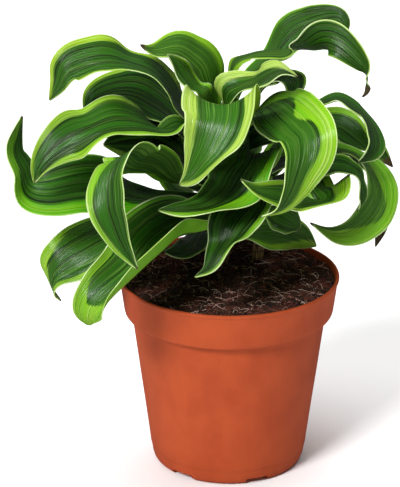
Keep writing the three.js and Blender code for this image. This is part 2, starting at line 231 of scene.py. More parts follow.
# mesh helpers
def useOnly(thing):
    if bpy.context.object and bpy.context.object.mode != "OBJECT":
        bpy.ops.object.mode_set(mode="OBJECT")
    bpy.ops.object.select_all(action="DESELECT")
    thing.select_set(True)
    bpy.context.view_layer.objects.active = thing


def applyModifier(thing, kind, **settings):
    modifier = thing.modifiers.new(kind.lower(), kind)
    for key, value in settings.items():
        setattr(modifier, key, value)
    useOnly(thing)
    bpy.ops.object.modifier_apply(modifier=modifier.name)


def closeSeams(thing, gap=0.01):
    # the wrapped edges and the poles of a tube grow together
    useOnly(thing)
    bpy.ops.object.mode_set(mode="EDIT")
    bpy.ops.mesh.select_all(action="SELECT")
    bpy.ops.mesh.remove_doubles(threshold=gap * mm)
    bpy.ops.mesh.normals_make_consistent(inside=False)
    bpy.ops.object.mode_set(mode="OBJECT")


def wrappedGrid(name, around, along, placeAt):
    # a flat grid whose points are moved to placeAt(share around, row number)
    bpy.ops.object.select_all(action="DESELECT")
    bpy.ops.mesh.primitive_grid_add(x_subdivisions=around, y_subdivisions=along, size=1)
    piece = bpy.context.object
    piece.name = name
    for vertex in piece.data.vertices:
        row = round((vertex.co.y + 0.5) * along)
        vertex.co = Vector(placeAt(vertex.co.x + 0.5, row)) * mm
    return piece


def finishPiece(piece, node, materials, smooth=35):
    piece.data.materials.clear()
    for material in materials:
        piece.data.materials.append(material)
    useOnly(piece)
    bpy.ops.object.shade_smooth_by_angle(angle=math.radians(smooth))
    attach(piece, "root")
    if node:
        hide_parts(node)
    return piece


# the pot
potShape = {
    "steps": 144,
    # radius and height round the whole wall, from the middle of the underside to the middle of the floor
    "profile": [
        (0, 0), (35.0, 0), (36.4, 0.3), (37.5, 1.0), (38.1, 2.0), (38.6, 3.8), (39.05, 6.6),
        (39.1, 7.7), (39.45, 8.3), (39.6, 8.9), (39.9, 12), (42.2, 30), (44.3, 46), (46.4, 62.5),
        (47.7, 72.5), (47.95, 76), (48.15, 78.2), (48.6, 79.1), (49.4, 79.5), (50.8, 79.7),
        (51.6, 80.0), (52.1, 80.7), (52.35, 81.8), (53.2, 88), (54.25, 96.4), (54.5, 97.1),
        (54.95, 97.5), (55.0, 98.1), (54.8, 98.7), (54.3, 99.0), (53.8, 98.9), (53.4, 98.4),
        (52.2, 91), (50.9, 82.4), (50.2, 81.7), (47.6, 81.1), (46.8, 80.4), (46.3, 76),
        (42.4, 43), (38.2, 10), (37.4, 8), (35.8, 5.4), (34.4, 5), (0, 5),
    ],
    "footGaps": 6,
    "footGapTurn": 22,
    "footGapWidth": 12,
    "footGapHeight": 3,
    "footRing": 29,
    "drainRadius": 3.2,
    "drainPlace": 30.5,
    "lit": tint(176, 77, 41),
    "worn": tint(163, 68, 36),
    # deep colours the pits and also the painted shade under the collar
    "deep": tint(120, 44, 22),
    "scuff": tint(206, 118, 82),
}


def terracottaPlastic():
    plastic = Finish("terracottaPlastic", Roughness=0.55, Specular_IOR_Level=0.1)
    place = plastic.place()
    clouds = plastic.grain(place, 45, 4, 0.6)
    flow = plastic.grain(plastic.scaled(place, 1, 1, 0.3), 160, 3)
    specks = plastic.grain(place, 1900, 2)
    tone = plastic.step(clouds * 0.7 + flow * 0.3, 0.32, 0.68)
    colour = plastic.mix(tone, potShape["worn"], potShape["lit"])
    scuffs = plastic.step(plastic.grain(place, 420, 5, 0.7), 0.66, 0.78)
    colour = plastic.mix(scuffs * 0.1, colour, potShape["scuff"])
    pits = plastic.step(specks, 0.64, 0.72)
    colour = plastic.mix(pits * 0.16, colour, potShape["deep"])
    # painted shade: a dark band is painted under the collar, where its overhang casts shadow
    split = plastic.node("ShaderNodeSeparateXYZ", {}, {0: place})
    height = plastic.out(split, 2) * (1 / mm) + (flow - 0.5) * 1.2
    creaseShade = plastic.step(height, 78.2, 79.4) * plastic.step(height, 80.6, 79.9)
    colour = plastic.mix(creaseShade * 0.55, colour, potShape["deep"])
    plastic.feed("Base Color", colour)
    plastic.feed("Roughness", 0.48 + clouds * 0.14 + specks * 0.06)
    plastic.bump(specks * 0.3 + flow * 0.4, 0.0001, 0.5)
    return plastic.material


def makePot():
    bpy.ops.object.select_all(action="DESELECT")
    bpy.ops.mesh.primitive_plane_add(size=1 * mm)
    pot = bpy.context.object
    pot.name = "potShell"
    useOnly(pot)
    bpy.ops.object.mode_set(mode="EDIT")
    bpy.ops.mesh.select_all(action="SELECT")
    bpy.ops.mesh.merge(type="CENTER")
    # the profile is drawn point by point from the one that is left, then spun round the pot's axis
    last = Vector((0, 0, 0))
    for radius, height in potShape["profile"][1:]:
        place = Vector((radius, 0, height)) * mm
        bpy.ops.mesh.extrude_region_move(TRANSFORM_OT_translate={"value": place - last})
        last = place
    bpy.ops.mesh.select_all(action="SELECT")
    bpy.ops.mesh.spin(steps=potShape["steps"], angle=2 * math.pi, center=(0, 0, 0), axis=(0, 0, 1))
    bpy.ops.object.mode_set(mode="OBJECT")
    closeSeams(pot)
    for k in range(potShape["footGaps"]):
        turn = math.radians(potShape["footGapTurn"] + 360 / potShape["footGaps"] * k - 90)
        along = Vector((math.cos(turn), math.sin(turn), 0))
        bpy.ops.mesh.primitive_cube_add(size=1)
        gap = bpy.context.object
        size = (20 * mm, potShape["footGapWidth"] * mm, 2 * potShape["footGapHeight"] * mm)
        gap.data.transform(Matrix.Diagonal((*size, 1)))
        gap.data.transform(Matrix.Rotation(turn, 4, "Z"))
        gap.data.transform(Matrix.Translation(along * (potShape["footRing"] + 10) * mm))
        drainRadius = potShape["drainRadius"] * mm
        bpy.ops.mesh.primitive_cylinder_add(vertices=24, radius=drainRadius, depth=20 * mm)
        drain = bpy.context.object
        drain.data.transform(Matrix.Translation(along * potShape["drainPlace"] * mm))
        for cutter in (gap, drain):
            applyModifier(cutter, "BEVEL", width=0.5 * mm, segments=2, limit_method="ANGLE")
            applyModifier(pot, "BOOLEAN", operation="DIFFERENCE", object=cutter, solver="EXACT")
            bpy.data.objects.remove(cutter)
    finishPiece(pot, "pot", [terracottaPlastic()], 30)
    print("pot:", len(pot.data.polygons), "faces")


# the soil with its fibres and crumbs
soilShape = {
    "edge": 96.4,
    "mound": 2.2,
    # radius and height from the middle of the underside up to the edge of the open top
    "sides": [
        (0, 5.3), (34, 5.3), (36.8, 8.3), (41.9, 43), (45.8, 76), (46.4, 81.1), (50.3, 82.6),
        (52.4, 95),
    ],
    "rings": 62,
    "around": 190,
    "outer": 52.7,
    "seed": 8,
    "crumbs": 1300,
    "crumbSizes": (0.4, 0.55, 0.75, 1.0, 1.3),
    "fibres": 900,
    "fibreSteps": (0.6, 0.8, 1.1, 1.6, 2.1, 2.8),
    "spread": 52.0,
    "dark": tint(36, 22, 17),
    "brown": tint(74, 44, 34),
    "red": tint(104, 48, 36),
    "tan": tint(206, 158, 130),
    "pink": tint(190, 116, 92),
}


def soilTop(x, y):
    radius = math.hypot(x, y) / 55
    height = soilShape["edge"] + soilShape["mound"] * (1 - radius * radius)
    height += 0.5 * math.sin(x / 6 + 1) * math.cos(y / 7) + 0.35 * math.sin((x - y) / 4)
    place = Vector((x, y, 3))
    height += 0.75 * noise.noise(place / 4.2) + 0.55 * noise.noise(place / 1.7) - 0.2
    return height


def pottingSoil(name, pale):
    soil = Finish(name, Roughness=0.95, Specular_IOR_Level=0.25)
    place = soil.place()
    lumps = soil.grain(place, 330, 5, 0.7)
    crumbs = soil.grain(place, 950, 4, 0.7)
    patches = soil.grain(place, 140, 3)
    colour = soil.mix(soil.step(lumps, 0.46, 0.6), soilShape["dark"], soilShape["brown"])
    colour = soil.mix(soil.step(patches, 0.5, 0.62) * 0.5, colour, soilShape["red"])
    colour = soil.mix(soil.step(crumbs, 0.58, 0.68) * pale, colour, soilShape["tan"])
    soil.feed("Base Color", colour)
    soil.bump(lumps * 0.6 + crumbs * 0.4, 0.0022)
    return soil.material


def coirFibre(name, colours):
    fibre = Finish(name, Roughness=0.7)
    shade = fibre.grain(fibre.place(), 900, 3)
    fibre.feed("Base Color", fibre.mix(fibre.step(shade, 0.4, 0.6), *colours))
    fibre.bump(shade, 0.0001)
    return fibre.material


def makeSoil():
    sides = soilShape["sides"]
    rings = soilShape["rings"]

    def placeAt(share, row):
        angle = 2 * math.pi * share
        if row < len(sides):
            radius, height = sides[row]
            return (radius * math.cos(angle), radius * math.sin(angle), height)
        radius = soilShape["outer"] * (1 - (row - len(sides)) / (rings - 1))
        x, y = radius * math.cos(angle), radius * math.sin(angle)
        return (x, y, soilTop(x, y))

    bed = wrappedGrid("soilBed", soilShape["around"], len(sides) + rings - 1, placeAt)
    closeSeams(bed)
    finishPiece(bed, "soil", [pottingSoil("pottingSoil", 0.3)], 80)
    chance = random.Random(soilShape["seed"])
    makeCrumbs(chance)
    makeFibres(chance)
    print("soil:", len(bed.data.polygons), "faces")


def soilSpot(chance, reach):
    radius = reach * math.sqrt(chance.random())
    angle = chance.uniform(0, 2 * math.pi)
    return radius * math.cos(angle), radius * math.sin(angle)


def makeCrumbs(chance):
    bpy.ops.object.select_all(action="DESELECT")
    bpy.ops.mesh.primitive_ico_sphere_add(subdivisions=1, radius=1)
    model = bpy.context.object
    copies = []
    for k in range(soilShape["crumbs"]):
        x, y = soilSpot(chance, soilShape["spread"] - 1.5)
        size = chance.choice(soilShape["crumbSizes"])
        crumb = bpy.data.objects.new("crumb", model.data.copy())
        bpy.context.collection.objects.link(crumb)
        for vertex in crumb.data.vertices:
            vertex.co *= chance.uniform(0.65, 1.2)
        squash = Matrix.Diagonal((size, size * chance.uniform(0.6, 1.2), size * 0.7, 1))
        turn = Matrix.Rotation(chance.uniform(0, 6), 4, "Z")
        turn = turn @ Matrix.Rotation(chance.uniform(0, 6), 4, "X")
        lift = Matrix.Translation((x, y, soilTop(x, y) + size * 0.15))
        crumb.data.transform(Matrix.Scale(mm, 4) @ lift @ turn @ squash)
        copies.append(crumb)
    useOnly(copies[0])
    for crumb in copies:
        crumb.select_set(True)
    bpy.ops.object.join()
    crumbs = bpy.context.object
    crumbs.name = "soilCrumbs"
    bpy.data.objects.remove(model)
    finishPiece(crumbs, None, [pottingSoil("soilCrumb", 0.5)], 25)


def makeFibres(chance):
    kinds = {
        # name: share of the fibres, thickness, colours
        "paleFibres": (0.3, 0.11, (tint(226, 176, 154), tint(252, 224, 210))),
        "brownFibres": (0.3, 0.09, (soilShape["brown"], tint(120, 70, 50))),
        "redFibres": (0.4, 0.085, (soilShape["red"], soilShape["pink"])),
    }
    for name, (share, thickness, colours) in kinds.items():
        curve = bpy.data.curves.new(name, "CURVE")
        curve.dimensions = "3D"
        curve.resolution_u = 3
        curve.bevel_depth = thickness * mm
        curve.bevel_resolution = 0
        curve.use_fill_caps = True
        for k in range(int(soilShape["fibres"] * share)):
            x, y = soilSpot(chance, soilShape["spread"] - 2)
            heading = chance.uniform(0, 2 * math.pi)
            bend = chance.uniform(-0.3, 0.3)
            length = chance.choice(soilShape["fibreSteps"])
            count = chance.choice((3, 4, 5))
            peak = chance.uniform(0.1, 1.3)
            spline = curve.splines.new("NURBS")
            spline.points.add(count)
            spline.use_endpoint_u = True
            spline.order_u = 3
            for n in range(count + 1):
                rise = peak * math.sin(math.pi * n / count)
                point = Vector((x, y, soilTop(x, y) + 0.15 + rise)) * mm
                spline.points[n].co = (*point, 1)
                spline.points[n].radius = 1 - 0.6 * n / count
                heading += bend + chance.uniform(-0.22, 0.22)
                x += length * math.cos(heading)
                y += length * math.sin(heading)
                away = math.hypot(x, y)
                inside = min(1, (soilShape["spread"] - 1) / away)
                x, y = x * inside, y * inside
        fibres = bpy.data.objects.new(name, curve)
        bpy.context.collection.objects.link(fibres)
        useOnly(fibres)
        bpy.ops.object.convert(target="MESH")
        fibres = bpy.context.object
        finishPiece(fibres, None, [coirFibre(name + "Coat", colours)], 60)


# the canes
canes = {
    # where the centre passes, radius at the foot
    "main": {"radius": 5.0, "centre": [(-5, 19, 80), (-5, 18, 98), (0, 6, 125), (-5, 0, 178)]},
    "side": {"radius": 3.0, "centre": [(13, 24, 80), (17, 22, 120), (16, 14, 138)]},
}

caneShape = {
    "rings": 90,
    "around": 28,
    "scarEvery": 3.4,
    "bark": tint(186, 152, 98),
    "barkDark": tint(112, 84, 50),
    "green": tint(96, 132, 52),
    "scar": tint(84, 66, 42),
}


def canePlace(cane, height):
    centre = cane["centre"]
    for low, high in zip(centre, centre[1:]):
        if height <= high[2] or high is centre[-1]:
            share = (height - low[2]) / (high[2] - low[2])
            return Vector(low).lerp(Vector(high), share)


def caneBark():
    bark = Finish("caneBark", Roughness=0.62)
    place = bark.place()
    split = bark.node("ShaderNodeSeparateXYZ", {}, {0: place})
    height = bark.out(split, 2) * (1 / mm)
    wander = bark.grain(place, 180, 3) * 1.6
    ring = ((height + wander) * (2 * math.pi / caneShape["scarEvery"])).math("SINE")
    scar = bark.step(ring, 0.78, 0.97)
    fibre = bark.grain(bark.scaled(place, 1, 1, 0.12), 900, 3)
    colour = bark.mix(bark.step(fibre, 0.35, 0.65), caneShape["barkDark"], caneShape["bark"])
    young = bark.step(height + wander * 4, 118, 160)
    colour = bark.mix(young * 0.85, colour, caneShape["green"])
    colour = bark.mix(scar * 0.7, colour, caneShape["scar"])
    bark.feed("Base Color", colour)
    bark.bump(fibre * 0.5 - scar, 0.0003)
    return bark.material


def makeCanes():
    bark = caneBark()
    for name, cane in canes.items():
        low = cane["centre"][0][2]
        high = cane["centre"][-1][2]
        rings = caneShape["rings"]

        def placeAt(share, row):
            along = row / rings
            height = low + (high - low) * along
            scar = math.cos(2 * math.pi * height / caneShape["scarEvery"])
            radius = cane["radius"] * (0.96 + 0.04 * max(0, scar) ** 4)
            endways = min(1, along * 16, (1 - along) * 16)
            radius *= math.sqrt(max(0, 1 - (1 - endways) ** 2))
            angle = 2 * math.pi * share
            centre = canePlace(cane, height)
            return (centre.x + radius * math.cos(angle), centre.y + radius * math.sin(angle), height)

        stem = wrappedGrid("cane" + name.title(), caneShape["around"], rings, placeAt)
        closeSeams(stem)
        finishPiece(stem, "cane_" + name, [bark], 60)
    print("canes made")


# the leaves
leafShape = {
    "thickness": 0.62,
    "step": 2.7,
    "across": 14,
    "widest": 0.42,
    "baseWidth": 0.24,
    "tipWidth": 0.03,
    "wave": 1.1,
    "waves": 3,
    "ripple": 0.26,
    "ripples": 9,
    "groove": 0.3,
    "clasp": 55,
    "claspReach": 0.12,
    "swellEvery": 26,
}


def arched(turn, reach, top, end, swing, lean):
    # a plain arching blade: the way it grows out, its reach, its highest and last height,
    # how far it swings sideways and how much it leans by its tip
    rows = []
    for share, fall in ((0.32, 0.25), (0.6, 0), (0.84, 0.35), (1, 1)):
        angle = math.radians(turn + swing * share * share)
        roll = math.radians(lean * share)
        height = top - 7 if share < 0.5 else top - (top - end) * fall
        rows.append((
            reach * share * math.cos(angle) - 3, reach * share * math.sin(angle) + 3, height,
            -math.sin(angle) * math.cos(roll), math.cos(angle) * math.cos(roll), math.sin(roll)))
    return rows


# name, cane, height on the cane, full width, cupping in degrees, then places along the midrib,
# each with the direction in which the blade's left edge lies
leafRows = [
    ("leaf_01", "main", 163.5, 32, 12, [
        (-25, -6, 190, -2, -10, 2),
        (-36, -9, 206, -1, -10, 0),
        (-49, -11, 212, -2, -10, 1),
        (-58, -12, 215, -1, -10, -3),
        (-68, -13, 214, 0, -8, -6),
        (-78, -14, 210, 2, -4, -9),
        (-82, -15, 201, 1, -4, -9),
        (-86, -16, 194, 1, -4, -9)]),
    ("leaf_02", "main", 158, 34, 12, [
        (-26, 11, 177, -2, -10, -2),
        (-42, 10, 190, -1, -9, -4),
        (-54, 9, 192, 0, -9, -4),
        (-64, 8, 189, 3, -7, -6),
        (-68, 8, 185, 5, -3, -8),
        (-71, 9, 180, 5, -3, -8)]),
    ("leaf_03", "main", 151, 34, 15, [
        (-20, -16, 178, 0, -10, 2),
        (-32, -24, 182, -1, -10, 3),
        (-44, -29, 188, -1, -10, 0),
        (-55, -33, 190, -1, -9, -3),
        (-66, -37, 187, 0, -9, -4),
        (-77, -40, 183, 2, -4, -9),
        (-85, -43, 177, 3, -3, -9),
        (-90, -45, 170, 5, -3, -8),
        (-92, -46, 163, 5, -3, -8)]),
    ("leaf_04", "main", 137.5, 34, 15, [
        (-23, -4.5, 140.5, 1, -10, 1),
        (-35, -9, 141, 0, -10, 0),
        (-48, -14, 145, 0, -10, -1),
        (-60, -21, 152, 0, -9, -5),
        (-73, -28, 154, 1, -8, -6),
        (-87, -32, 153, 1, -8, -6),
        (-96, -31, 155, -1, -9, -4),
        (-99, -28, 163, -3, -10, 0),
        (-103, -25, 171, -5, -9, 2),
        (-102, -21, 178, -6, -8, 2),
        (-99, -18, 187, -6, -8, 2)]),
    ("leaf_05", "main", 142, 27, 12, [
        (-26, -18, 154, 2, -8, 5),
        (-33, -27, 162, 2, -8, 6),
        (-38, -37, 169, 2, -7, 7),
        (-44, -47, 174, 2, -7, 7),
        (-48, -57, 181, 2, -8, 5),
        (-54, -64, 179, 5, -8, 3),
        (-57, -69, 172, 7, -7, 3),
        (-57, -74, 162, 9, -4, 1),
        (-55, -76, 155, 10, -1, 0),
        (-51, -77, 145, 10, 0, 0),
        (-46, -78, 137, 10, 0, -1),
        (-43, -79, 133, 10, 0, -1)]),
    ("leaf_06", "main", 166, 40, 50, [
        (-6, -16, 179, 9, -3, 1),
        (-4, -38, 199, 9, -3, 1),
        (-4, -49, 195, 9, -3, 1),
        (-9, -54, 184, 9, -5, 0),
        (-13, -55, 178, 7, -7, -1),
        (-19, -53, 169, 6, -8, -1),
        (-24, -51, 164, 6, -8, -1)]),
    ("leaf_07", "main", 154, 33, 18, [
        (10, -19, 168, 3, -9, 2),
        (10, -33, 170, 7, -6, 2),
        (5, -42, 165, 9, -4, 1),
        (0, -46, 158, 8, -6, 0),
        (-9, -51, 154, 7, -7, 0),
        (-18, -54, 153, 6, -8, -1),
        (-28, -55, 153, 6, -8, -2),
        (-34, -55, 153, 6, -8, -2)]),
    ("leaf_08", "main", 165, 31, 12, [
        (16, 0, 185, 1, 10, 0),
        (22, -12, 190, 2, 10, 1),
        (26, -27, 191, 4, 9, 3),
        (31, -43, 191, 7, 5, 5),
        (35, -54, 189, 9, 3, 4),
        (35, -60, 182, 9, 4, 0),
        (32, -64, 174, 8, 6, -2),
        (28, -68, 166, 7, 6, -3),
        (22, -71, 159, 7, 7, -2),
        (13, -72, 156, 7, 7, -2)]),
    ("leaf_09", "main", 145, 28, 12, [
        (34, -19, 156, 0, 10, -1),
        (42, -30, 155, 3, 10, -1),
        (46, -39, 155, 7, -5, 5),
        (44, -46, 154, 8, -6, 2),
        (36, -51, 156, 5, -9, -1),
        (29, -54, 159, 2, -9, -4),
        (18, -60, 163, 1, -9, -4),
        (11, -63, 166, 1, -9, -4),
        (4, -65, 172, 1, -9, -4)]),
    ("leaf_10", "main", 137, 24, 15, [
        (35, 8, 161, 0, 10, 1),
        (47, 6, 161, 0, 10, 0),
        (58, 2, 161, 1, 10, -1),
        (67, -4, 158, 4, 9, -2),
        (72, -11, 153, 6, 7, -3),
        (73, -18, 145, 7, 6, -3),
        (68, -25, 138, 9, 1, -4),
        (59, -30, 132, 8, -2, -5),
        (49, -33, 132, 7, -3, -7),
        (38, -35, 139, 7, -3, -7)]),
    ("leaf_11", "main", 148, 22, 10, [
        (33, -16, 164, 1, 10, 0),
        (47, -24, 164, 1, 10, 1),
        (54, -29, 165, 1, 10, 1),
        (60, -32, 163, 1, 10, 2),
        (62, -34, 158, 2, 10, 1),
        (63, -35, 150, 5, 7, 5),
        (60, -36, 145, 5, 7, 5)]),
    ("leaf_12", "main", 171, 22, 12, [
        (1, 6.5, 202.5, 2, -10, 1),
        (9, 10, 208.5, 1, -10, 1),
        (19, 9, 211, 0, -10, 1),
        (26, 9, 211, 0, -10, 1),
        (31, 10, 213, -1, -9, 4),
        (37, 7, 215, -1, -8, 6),
        (45, 3, 220, 1, -4, 9),
        (52, -1, 219, 3, -2, 9),
        (59, -5, 214, 4, -2, 9),
        (65, -8, 207, 4, -6, 7),
        (65, -9, 202, -3, -9, 4),
        (66, -10, 197, 8, -4, 4),
        (63, -11, 194, 8, -4, 4)]),
    ("leaf_13", "main", 166, 24, 12, [
        (2, 20, 185, -3, 10, -1),
        (20, 32, 199, -2, 10, -1),
        (30, 33, 212, -6, 7, 3),
        (38, 30, 218, -3, 7, 6),
        (48, 26, 223, -1, 4, 9),
        (54, 23, 224, 2, 3, 9),
        (56, 21, 220, 8, 2, 4),
        (56, 20, 214, 9, 1, 1)]),
    ("leaf_14", "main", 170, 26, 12, [
        (-1, -9, 193, -5, 9, -2),
        (4, -13, 199, -4, 9, -2),
        (12, -17, 204, -2, 10, -1),
        (19, -20, 209, -2, 10, 1),
        (24, -22, 211, -2, 10, 2),
        (28, -23, 210, 1, 10, 1),
        (32, -24, 208, 1, 10, 1)]),
    ("leaf_15", "main", 160, 22, 12, [
        (8, 18, 172, 1, 10, -1),
        (16, 19, 189, 0, 10, -1),
        (23, 18, 193, 0, 10, 0),
        (28, 16, 195, 3, 10, 0),
        (30, 8, 194, 5, 9, 1),
        (30, 3, 189, 7, 7, 0),
        (32, 0, 183, 7, 7, 0)]),
    ("leaf_16", "main", 169, 28, 12, [
        (-10, 5, 189, -5, -9, 1),
        (-13, 7, 202, -6, -8, -2),
        (-18, 6, 208, -5, -8, -2),
        (-24, 4, 213, -4, -8, -3),
        (-30, 1, 214, -2, -10, -2),
        (-37, -2, 214, -1, -10, -2),
        (-43, -4, 218, -1, -10, -2)]),
    ("leaf_17", "main", 174, 18, 12, [
        (-12, -11, 194, -4, -9, 2),
        (-17, -11, 199, -5, -8, 3),
        (-22, -11, 206, -6, -7, 3),
        (-26, -12, 212, -7, -7, 0),
        (-30, -13, 216, -7, -7, 0)]),
    ("leaf_18", "main", 120.5, 34, 12, [
        (-24, -8, 132, 2, -10, 1),
        (-41, -15, 132, 1, -10, -1),
        (-57, -23, 128, 2, -9, -3),
        (-72, -30, 122, 4, -7, -6),
        (-82, -32, 116, 6, -4, -7),
        (-86, -32, 110, 5, -7, -5),
        (-86, -30, 102, 3, -9, -3),
        (-82, -27, 95, 3, -9, -3)]),
    ("leaf_19", "main", 124.5, 45, 76, [
        (-13, -16, 131, 7, -5, -3),
        (-22, -29, 134, 6, -8, -2),
        (-32, -42, 133, 4, -9, 0),
        (-39, -55, 130, 4, -9, 0),
        (-48, -62, 123, 4, -9, 0),
        (-58, -66, 116, 7, -7, -1),
        (-65, -67, 110, 10, -4, 0),
        (-67, -66, 104, 10, -3, 0),
        (-67, -61, 97, 10, -2, 0)]),
    ("leaf_20", "main", 134.5, 28, 20, [
        (9, -23, 149.5, 4, -9, 3),
        (9, -38, 149, 7, -7, 1),
        (2, -47, 144, 9, -4, 0),
        (-2, -52, 136.5, 8, -5, 3),
        (-6, -57, 132, 7, -7, 3),
        (-10, -61, 126, 7, -7, 3),
        (-17, -62, 122, 7, -7, 3)]),
    ("leaf_21", "main", 112.5, 19, 10, [
        (10, 13, 116, 1, 4, 9),
        (20, 16, 115, 1, 4, 9),
        (28, 20, 113, 3, 4, 8),
        (36, 24, 109, 5, 3, 8),
        (45, 28, 102, 6, 3, 7)]),
    ("leaf_22", "side", 127, 16, 10, [
        (21, 12, 127, 2, 5, 8),
        (28, 10, 124, 3, 5, 8),
        (33, 12, 120, 5, 5, 7),
        (35, 13, 116, 6, 5, 6)]),
    ("leaf_23", "side", 129.5, 18, 10, [
        (36, 26, 139, 0, 10, 2),
        (58, 36, 144, 1, 10, 0),
        (73, 32, 142, 3, 10, -1),
        (79, 27, 132, 5, 9, -3),
        (78, 22, 121, 7, 7, -3),
        (76, 19, 112, 10, 0, 0),
        (74, 17, 106, 10, 0, 0)]),
    ("leaf_24", "main", 158, 25, 12, [
        (14, 3, 170, -5, 4, 7),
        (34, 4, 181, 0, 10, -2),
        (45, 5, 185, 0, 10, -2),
        (53, 4, 188, 0, 10, -2),
        (60, 1, 185, 2, 10, -2),
        (66, -2, 180, 3, 9, -2),
        (69, -9, 175, 5, 8, -3),
        (69, -17, 171, 5, 8, -3),
        (65, -25, 169, 5, 7, -5),
        (60, -29, 167, 5, 7, -5)]),
    ("leaf_25", "main", 133.5, 31, 12, [
        (36, 32, 160, 0, 10, 1),
        (48, 37, 164, 1, 10, 3),
        (56, 37, 164, 1, 9, 5),
        (63, 34, 160, 3, 6, 7),
        (68, 30, 156, 3, 4, 9),
        (72, 28, 153, 3, 4, 9)]),
    ("leaf_26", "side", 135.5, 20, 10, [
        (58, 46, 153, 1, 10, 0),
        (70, 44, 157, 3, 9, 2),
        (76, 39, 150, 5, 7, 4),
        (81, 34, 145, 8, 2, 6),
        (83, 33, 143, 8, 2, 6)]),
    ("leaf_27", "side", 110, 18, 10, [
        (-10, 26, 113, 2, -10, 1),
        (-18, 12, 109, 2, -10, -2),
        (-26, 2, 109, 2, -9, -4),
        (-33, -2, 111, 2, -9, -4)]),
    ("leaf_28", "main", 127, 20, 10, [
        (-27, 32, 137, 8, -6, 3),
        (-26, 36, 132, 9, -5, 2),
        (-24, 37, 127, 9, -4, 2),
        (-23, 38, 122, 9, -4, 2)]),
    ("leaf_29", "main", 148, 34, 12, [
        (-22, -9, 163, 0, -10, -1),
        (-34, -10, 171, 0, -9, -4),
        (-43, -11, 172, 0, -7, -7),
        (-52, -12, 172, 1, -4, -9),
        (-61, -14, 171, 1, -4, -9)]),
    ("leaf_30", "main", 152, 30, 14, arched(88, 52, 170, 154, -10, 20)),
    ("leaf_31", "main", 150, 30, 14, arched(116, 56, 165, 150, 6, -15)),
    ("leaf_32", "main", 145, 26, 14, arched(78, 56, 154, 140, 0, 15)),
    ("leaf_33", "main", 143.5, 28, 14, arched(152, 58, 158.2, 147.2, 5, -12)),
    ("leaf_34", "main", 136.5, 30, 14, arched(96, 60, 143, 128, 2, 8)),
    ("leaf_35", "main", 139.5, 27, 14, arched(173, 66, 152, 143, -4, 10)),
    ("leaf_36", "main", 122.5, 27, 14, arched(76, 58, 129, 115, -6, 10)),
]

leafPaint = {
    # lime margin left and right in mm, how yellow the lime is and above 1 how pale, how light the
    # middle is, brown at the tip in mm
    "leaf_01": (1.0, 4.4, 0.85, 0.3, 0.5),
    "leaf_02": (0.6, 3.4, 0.5, 0.0, 0),
    "leaf_03": (3.6, 3.4, 0.6, 0.3, 0.5),
    "leaf_04": (10.0, 0.8, 0.1, 0.25, 1),
    "leaf_05": (1.2, 5.0, 0.4, 0.3, 1),
    "leaf_06": (6.0, 4.2, 1.25, 0.6, 0),
    "leaf_07": (7.0, 0.8, 0.2, 0.3, 0),
    "leaf_08": (9.0, 1.0, 0.5, 0.6, 0.5),
    "leaf_09": (4.0, 2.6, 0.5, 0.6, 0.5),
    "leaf_10": (9.5, 1.0, 0.3, 1.4, 1.5),
    "leaf_11": (1.2, 1.0, 0.2, 0.1, 1),
    "leaf_12": (0.8, 1.0, 0.7, 0.5, 7),
    "leaf_13": (1.2, 0.8, 0.3, 0.3, 5),
    "leaf_14": (6.5, 1.2, 1.35, 0.3, 1.5),
    "leaf_15": (1.4, 2.4, 0.4, 0.1, 1),
    "leaf_16": (1.2, 3.6, 0.5, 1.3, 3),
    "leaf_17": (1.0, 3.4, 0.4, 0.6, 0),
    "leaf_18": (5.5, 1.8, 0.5, 0.7, 3),
    "leaf_19": (13.0, 3.4, 0.35, 0.6, 0),
    "leaf_20": (4.2, 0.9, 0.3, 0.1, 0),
    "leaf_21": (1.6, 2.4, 0.5, 0.9, 0),
    "leaf_22": (0.8, 1.6, 0.4, 0.7, 1),
    "leaf_23": (1.6, 1.2, 0.3, 0.0, 9),
    "leaf_24": (0.8, 1.0, 0.3, 0.0, 1),
    "leaf_25": (4.6, 1.2, 0.4, 0.2, 1),
    "leaf_26": (1.5, 1.5, 0.3, 0.0, 6),
    # leaf_27's middle is kept at its darkest, lightness 0, as painted shade for a leaf that lies in
    # shadow
    "leaf_27": (0.8, 0.8, 0.3, 0.0, 1),
    "leaf_28": (3.0, 3.0, 0.5, 0.4, 1),
    "leaf_29": (6.0, 1.4, 0.3, 0.0, 0),
}
plainPaint = (3.4, 3.0, 0.4, 0.25, 1)

leafTints = {
    "deep": tint(15, 40, 8),
    "middle": tint(38, 92, 12),
    "grey": tint(58, 94, 28),
    "light": tint(106, 158, 50),
    "limeGreen": tint(74, 162, 8),
    "limeYellow": tint(152, 192, 38),
    "limePale": tint(196, 216, 128),
    "limeDark": tint(40, 104, 8),
    "edge": tint(214, 230, 176),
    "dry": tint(40, 34, 18),
    "dryPale": tint(92, 78, 44),
    "under": tint(34, 68, 20),
    "underPale": tint(72, 108, 34),
}

limeSwells = {
    # where the lime spreads further in: side, share of the length, its reach, more width in mm
    "leaf_06": [(-1, 0.5, 0.12, 2.5), (1, 0.42, 0.1, 2)],
    "leaf_08": [(1, 0.1, 0.1, 6), (1, 0.24, 0.11, 5)],
    "leaf_09": [(1, 0.5, 0.12, 5), (-1, 0.45, 0.2, 4)],
    "leaf_12": [(1, 0.12, 0.16, 9), (-1, 0.12, 0.16, 9)],
    "leaf_18": [(-1, 0.86, 0.12, 5)],
    "leaf_19": [(1, 0.97, 0.09, 16), (-1, 0.97, 0.09, 16)],
    "leaf_21": [(-1, 0.9, 0.4, 3)],
}


# blades that lie against a neighbour are set aside a little, in mm
setAside = {
    "leaf_14": (0, -0.5, 0),
    "leaf_15": (0.35, 0, 0),
    "leaf_18": (0, 0.4, 0),
    "leaf_31": (0, 0, 0.35),
    "leaf_35": (0, -0.5, 0),
}


